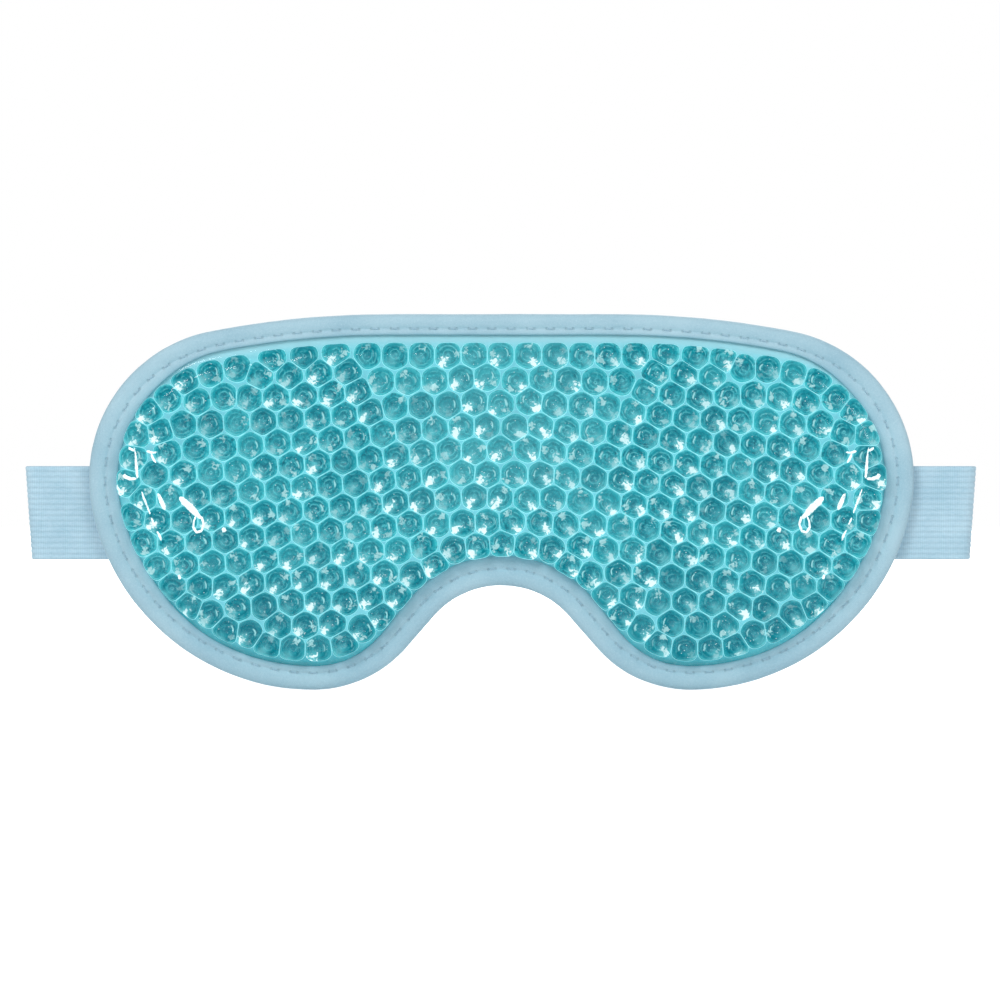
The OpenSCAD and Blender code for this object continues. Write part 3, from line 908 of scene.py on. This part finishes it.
def padded_back():
    """Closed coarse pad: its front lies on the film and its rim is held, its rear is free to swell."""
    flat, faces, count = sheet_points((1.05, 3.5, 6.2, 7.2, 8.4), 2.6, 2.2)
    inset = inset_of(flat)
    n = len(flat)
    rise = smooth(inset, 6.8, 9.6)
    rear = -1.12 + (1.12 - 0.30) * rise + 0.06 * noise_of(in_3d(flat, 0.0), 14.0, 8.8) * rise
    verts = np.vstack([in_3d(flat, -2.38), in_3d(flat, rear)])
    held = np.r_[np.ones(n), 1 - smooth(inset, 6.6, 7.8)]
    return verts, two_faced(faces, n, count), held


def loose_object(name, verts, faces):
    mesh = bpy.data.meshes.new(name)
    mesh.from_pydata(verts.tolist(), [], faces)
    return in_scene(name, mesh)


def taken_from(obj):
    """Points and faces of an object with its modifiers applied. The object is removed."""
    done = obj.evaluated_get(bpy.context.evaluated_depsgraph_get()).to_mesh()
    verts = np.array([v.co for v in done.vertices])
    faces = [list(p.vertices) for p in done.polygons]
    bpy.data.objects.remove(obj)
    return verts, faces


def settle(verts, faces, held):
    """Cloth simulation of the padded back, as plain points in millimetres."""
    obj = loose_object("settle", verts * MM, faces)
    group = obj.vertex_groups.new(name="held")
    for i, w in enumerate(held):
        if w > 0.01:
            group.add([i], float(w), "REPLACE")
    cloth = obj.modifiers.new("Cloth", "CLOTH")
    c = cloth.settings
    c.vertex_group_mass = "held"
    c.pin_stiffness = 5.0
    c.quality = 6
    c.mass = 0.05
    c.tension_stiffness = c.compression_stiffness = 8.0
    c.shear_stiffness = 4.0
    c.bending_stiffness = 0.4
    c.use_pressure = True
    c.uniform_pressure_force = 4.0
    c.shrink_min = -0.035
    c.effector_weights.gravity = 0.0
    cloth.collision_settings.use_collision = False
    scene = bpy.context.scene
    cloth.point_cache.frame_start, cloth.point_cache.frame_end = 1, CLOTH_FRAMES
    for frame_at in range(1, CLOTH_FRAMES + 1):
        scene.frame_set(frame_at)
    found, _ = taken_from(obj)
    scene.frame_set(1)
    move = found / MM - verts
    # the pad bulges only a little: soft limits keep it clear of the straps behind it
    move[:, 1] = BULGE * np.tanh(move[:, 1] / BULGE)
    move[:, 0], move[:, 2] = (SIDEWAYS * np.tanh(move[:, k] / SIDEWAYS) for k in (0, 2))
    return verts + move * (1 - held)[:, None]


def make_backing():
    verts, faces, held = padded_back()
    verts = settle(verts, faces, held)
    obj = loose_object("coarse", verts, faces)
    sub = obj.modifiers.new("Subsurf", "SUBSURF")
    sub.levels = sub.render_levels = 2
    sub.boundary_smooth = "PRESERVE_CORNERS"
    verts, faces = taken_from(obj)
    inset = inset_of(verts[:, [0, 2]])
    open_side = smooth(inset, 7.0, 8.6) * (verts[:, 1] > -1.6)
    # short tufts of pile all over the open cloth
    tufts = 0.13 * noise_of(verts, 1.3, 2.2) + 0.09 * noise_of(verts, 3.4, 5.0)
    verts[:, 1] += (tufts + 0.05) * open_side
    # painted shade in the low places between tufts
    hollow = np.clip(-tufts * 3.5, 0, 1) * open_side * 0.5
    build("plush_backing_soft", verts, faces, "plush", "mask", ("plush_backing",),
          {"hollow": hollow})


# ---------------------------------------------------------------- straps
STRAP_W, RIBS = 25.0, 17
# half thickness in a groove, and how much further a rib stands out
GROOVE_HALF, RIB_RISE = 0.50, 0.19
LEAD_Y = 0.5
HALF_W = 110.07
FOLD_TIP = HALF_W + 16.8
# how far the strap leans at the fold, over its width
FOLD_LEAN = 1.75
# along x: where the two pieces of elastic meet, the stretching span starts and ends, and the strap ends
JOIN_X, SPAN_X, END_X, TIP_X = 116.0, 111.4, 46.0, 4.0


def strap_columns():
    """Cross-section of the elastic: (height, half thickness, groove) along one face."""
    columns = []
    for i in range(RIBS):
        for k, (lift, groove) in enumerate(((0.0, 1.0), (0.72, 0.25), (1.0, 0.0), (0.72, 0.25))):
            z = -STRAP_W / 2 + (i + k / 4) * STRAP_W / RIBS
            columns.append((z, GROOVE_HALF + RIB_RISE * lift, groove))
    columns.append((STRAP_W / 2, GROOVE_HALF, 1.0))
    return columns


def make_elastic(name, side, rows, replaces):
    """Elastic through rows of (x, y, normal x, normal y, thickness scale, lean)."""
    columns = strap_columns()
    c = len(columns)
    n = 2 * c
    verts, hollow = [], []
    for x, y, nx, ny, fat, lean in rows:
        for face in (1, -1):
            for z, half, groove in columns[::face]:
                out = face * half * fat
                verts.append((side * (x + lean * z / STRAP_W + nx * out), y + ny * out, STRAP_Z + z))
                hollow.append(groove)
    base = (len(rows) - 1) * n
    first = [[n - 1 - k, n - 2 - k, k + 1, k] for k in range(c - 1)]
    last = [[base + i for i in f[::-1]] for f in first]
    faces = ring_faces(len(rows), n, False).tolist() + first + last
    obj = build(name, verts, faces, "elastic", None, replaces, {"hollow": hollow})
    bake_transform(obj)
    # the subdivision that rounds the ribs keeps the cut ends square
    edges = np.array([tuple(e.vertices) for e in obj.data.edges]) // n
    sharp = (edges[:, 0] == edges[:, 1]) & np.isin(edges[:, 0], (0, len(rows) - 1))
    crease = obj.data.attributes.new("crease_edge", "FLOAT", "EDGE")
    crease.data.foreach_set("value", sharp.astype(np.float32))
    sub = obj.modifiers.new("Subsurf", "SUBSURF")
    sub.levels = sub.render_levels = 2


def make_strap(start, side, tail_y):
    """side is -1 for the left strap and 1 for the right one."""
    name = start + "_strap"
    mask_side, tail_side = (LEAD_Y, 0, -1), (tail_y, 0, 1)
    bend = FOLD_TIP - (3.2 if tail_y - LEAD_Y < 4 else 5.0) - 0.4
    corner = FOLD_TIP - 0.7
    rows = [(104.0, *mask_side, 0.92, 0.0)]
    rows += [(x, *mask_side, 1, 0.0) for x in (104.6, 109.0, 113.0)]
    rows += [(117.5, *mask_side, 1, 0.3 * FOLD_LEAN), (bend, *mask_side, 1, 0.8 * FOLD_LEAN),
             (corner, LEAD_Y, 1, -1, 1, FOLD_LEAN), (corner, tail_y, 1, 1, 1, FOLD_LEAN),
             (bend, *tail_side, 1, 0.8 * FOLD_LEAN), (119.0, *tail_side, 1, 0.2 * FOLD_LEAN),
             (117.0, *tail_side, 1, 0.0), (JOIN_X, *tail_side, 1, 0.0)]
    make_elastic(name + "_lead_elastic", side, rows, (name + "_lead", name + "_tail"))
    xs = [JOIN_X, 115.0, *np.linspace(SPAN_X, END_X, 9), 40.0, 30.0, 18.0, 9.0]
    rows = [(x, *tail_side, 1.0, 0.0) for x in (*xs, TIP_X + 1.2, TIP_X + 0.3)]
    rows.append((TIP_X, *tail_side, 0.8, 0.0))
    make_elastic(name + "_tail_elastic", side, rows, (name + "_span", name + "_end"))


# ---------------------------------------------------------------- patches and their thread
# bare margin round the pile, thickness of a patch's ground, and of the elastic that it is sewn to
PATCH_MARGIN, PATCH_BASE, STRAP_T = 2.2, 0.5, 1.4


def slab(low, high, step, ripple, seed):
    """Closed slab of woven tape: a fine grid on each face, with its weave standing out from them."""
    nx, nz = int((high[0] - low[0]) / step) + 1, int((high[2] - low[2]) / step) + 1
    xs, zs = np.linspace(low[0], high[0], nx), np.linspace(low[2], high[2], nz)
    gx, gz = np.meshgrid(xs, zs, indexing="ij")
    weave = np.sin(gx * math.pi / 0.9) * np.sin(gz * math.pi / 0.9)
    edge = np.minimum.reduce([gx - low[0], high[0] - gx, gz - low[2], high[2] - gz])
    # the cut and woven edges are thinner and slightly uneven
    thin = smooth(edge, -0.1, 0.8)
    wander = 0.12 * np.array([[noise.noise(Vector((x / 5 + seed, z / 5, seed))) for z in zs]
                              for x in xs])
    gx, gz = gx + wander * (edge < 0.01), gz + wander * (edge < 0.01)
    mid, half = (low[1] + high[1]) / 2, (high[1] - low[1]) / 2
    verts = []
    for face in (-1, 1):
        y = mid + face * (half * (0.55 + 0.45 * thin) - ripple * (1 - weave) / 2)
        verts.append(np.stack([gx, y, gz], -1).reshape(-1, 3))
    n = nx * nz
    at = np.arange(n).reshape(nx, nz)
    quads = np.stack([at[:-1, :-1], at[1:, :-1], at[1:, 1:], at[:-1, 1:]], -1).reshape(-1, 4)
    faces = quads.tolist() + (quads[:, ::-1] + n).tolist()
    loop = [*at[:, 0], *at[-1, 1:], *at[-2::-1, -1], *at[0, -2:0:-1]]
    faces += [[int(w), int(v), int(v) + n, int(w) + n] for v, w in zip(loop, loop[1:] + loop[:1])]
    verts = np.vstack(verts)
    return verts, outward(verts, faces)


def box_mm(node):
    return (np.array(corner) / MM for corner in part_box(node))


def make_patch(node, name, body, out, hooks):
    """Hook or loop tape: out is +1 when its pile points away from the pad and -1 towards it."""
    low, high = box_mm(node)
    y0, y1 = (low[1], low[1] + PATCH_BASE) if out > 0 else (high[1] - PATCH_BASE, high[1])
    parts = [slab((low[0], y0, low[2]), (high[0], y1, high[2]), 0.45, 0.05, 3.0)]
    top = y1 if out > 0 else y0
    tall = (high[1] - low[1]) - PATCH_BASE
    rng = np.random.default_rng(21 if hooks else 22)
    pitch_x, pitch_z = (1.15, 1.10) if hooks else (0.86, 0.80)
    xs = np.arange(low[0] + PATCH_MARGIN, high[0] - PATCH_MARGIN, pitch_x)
    zs = np.arange(low[2] + PATCH_MARGIN, high[2] - PATCH_MARGIN, pitch_z)
    for j, z in enumerate(zs):
        for x in xs:
            spot = np.array([x + (j % 2) * pitch_x / 2, top, z]) + rng.normal(0, 0.07, 3) * (1, 0, 1)
            turn = rng.normal(0, 0.25) + (math.pi * (j % 2) if hooks else rng.uniform(0, math.pi))
            ahead = np.array([math.cos(turn), 0, math.sin(turn)])
            up = np.array([0, out, 0])
            if hooks:
                shape = ((0, -0.1), (0, 0.35), (0.02, 0.68), (0.16, 0.92), (0.36, 0.93), (0.47, 0.72))
                path = [spot + ahead * a + up * b * tall for a, b in shape]
                parts.append(tube(path, 0.11, 5, (0.9, 1.0)))
            else:
                grow = tall * rng.uniform(0.75, 1.0)
                lean = rng.normal(0, 0.12, 2)
                path = [spot + ahead * 0.42 * math.cos(t) + up * (grow * math.sin(t) - 0.08)
                        + np.array([lean[0], 0, lean[1]]) * math.sin(t)
                        for t in np.linspace(0, math.pi, 6)]
                parts.append(tube(path, 0.10, 4, (1.0, 1.0)))
    verts, faces = join(parts)
    kind = "hook" if hooks else "loop"
    build(name, verts, faces, kind, body, (node,))


def make_seams(node, body, runs):
    """Rows of short stitches. Each run is (start, end, count, depth, the way the thread bulges)."""
    parts = []
    for start, end, count, y, out in runs:
        start, end = np.array(start, float), np.array(end, float)
        step = (end - start) / count
        for k in range(count):
            path = []
            for t in np.linspace(-1, 1, 7):
                flat = start + step * (k + 0.5 + 0.42 * t)
                path.append([flat[0], y + out * (0.20 * math.sqrt(1 - t * t) - 0.06), flat[1]])
            parts.append(tube(path, 0.19, 7, (0.7, 0.95)))
    verts, faces = join(parts)
    build(node + "_thread", verts, faces, "thread", body, (node,))


def make_threads():
    for node in ("left_strap_tack", "right_strap_tack"):
        low, high = box_mm(node)
        make_seams(node, "mask", [((x, low[2]), (x, high[2]), 7, low[1] - 0.02, 1)
                                  for x in (low[0] + 0.25, high[0] - 0.25)])
    for patch, body, out in (("loop_patch", "left_end", 1), ("hook_patch", "right_end", -1)):
        low, high = box_mm(patch)
        m = PATCH_MARGIN / 2
        x0, x1, z0, z1 = low[0] + m, high[0] - m, low[2] + m, high[2] - m
        far, tape = ((low[1] - STRAP_T, low[1] + PATCH_BASE) if out > 0
                     else (high[1] + STRAP_T, high[1] - PATCH_BASE))
        runs = []
        for y, way in ((tape, out), (far, -out)):
            runs += [((x0, z0), (x1, z0), 11, y, way), ((x0, z1), (x1, z1), 11, y, way),
                     ((x0, z0), (x0, z1), 6, y, way), ((x1, z0), (x1, z1), 6, y, way)]
        make_seams(patch + "_stitching", body, runs)


# ---------------------------------------------------------------- stage
# floor height and the width of the picture at the object, in metres
FLOOR_Z, SHOWN = -0.0512, 0.26634


def make_stage():
    bpy.ops.mesh.primitive_circle_add(vertices=96, radius=6.0, fill_type="NGON",
                                      location=(0, 0, FLOOR_Z))
    floor = bpy.context.object
    floor.name = "floor"
    n = Nodes("floor_paper")
    grain = n.noise(None, 40.0, 2.0)
    seen = n.node("LightPath").outputs["Is Camera Ray"]
    spot = n.node("NewGeometry").outputs["Position"]
    far = n.range(n.vmath("LENGTH", spot), 0.25, 0.75, 0.42, 1.0)
    paper = n.mix(n.times(grain, 0.02), (0.90, 0.90, 0.90, 1), (0.85, 0.85, 0.85, 1))
    n.surface(paper, 0.9, Emission_Color=(1, 1, 1, 1), Emission_Strength=n.times(seen, far))
    floor.data.materials.append(n.material)

    world = bpy.data.worlds.new("studio")
    bpy.context.scene.world = world
    world.use_nodes = True
    tree = world.node_tree
    path = tree.nodes.new("ShaderNodeLightPath")
    strength = tree.nodes.new("ShaderNodeMapRange")
    strength.inputs["To Min"].default_value = 0.50
    strength.inputs["To Max"].default_value = 1.0
    tree.links.new(path.outputs["Is Camera Ray"], strength.inputs["Value"])
    tree.links.new(strength.outputs[0], tree.nodes["Background"].inputs[1])
    tree.nodes["Background"].inputs[0].default_value = (1, 1, 1, 1)

    def area(name, place, size, power):
        light = bpy.data.lights.new(name, "AREA")
        light.shape, light.size, light.size_y, light.energy = "RECTANGLE", size[0], size[1], power
        obj = in_scene(name, light)
        obj.location = place
        obj.rotation_euler = (-Vector(place)).to_track_quat("-Z", "Y").to_euler()

    area("key", (-0.55, -0.9, 0.75), (0.5, 0.5), 8.0)
    area("fill", (0.7, -0.8, 0.4), (0.5, 0.5), 3.5)
    area("rear", (0.2, 0.9, 0.7), (0.6, 0.6), 7.0)

    camera = in_scene("camera", bpy.data.cameras.new("camera"))
    camera.data.lens, camera.data.sensor_width = 135.0, 36.0
    shift = 1.5 / 1000 * SHOWN
    # the picture's scale holds 4 mm in front of the middle of the pad
    camera.location = (-shift, -SHOWN / 36.0 * 135.0 - 0.004, shift)
    camera.rotation_euler = (math.radians(90), 0, 0)
    camera.data.clip_start, camera.data.clip_end = 0.01, 50
    bpy.context.scene.camera = camera
    bpy.context.scene.view_settings.view_transform = "Standard"


make_binding()
make_binding_stitches()
CENTRES = bead_centres()
FRONTS = make_beads(CENTRES)
make_front_film(CENTRES, FRONTS)
make_rear_film()
make_backing()
make_strap("left", -1, 3.4)
make_strap("right", 1, 7.8)
make_patch("loop_patch", "loop_patch_tape", "left_end", 1, False)
make_patch("hook_patch", "hook_patch_tape", "right_end", -1, True)
make_threads()
make_stage()
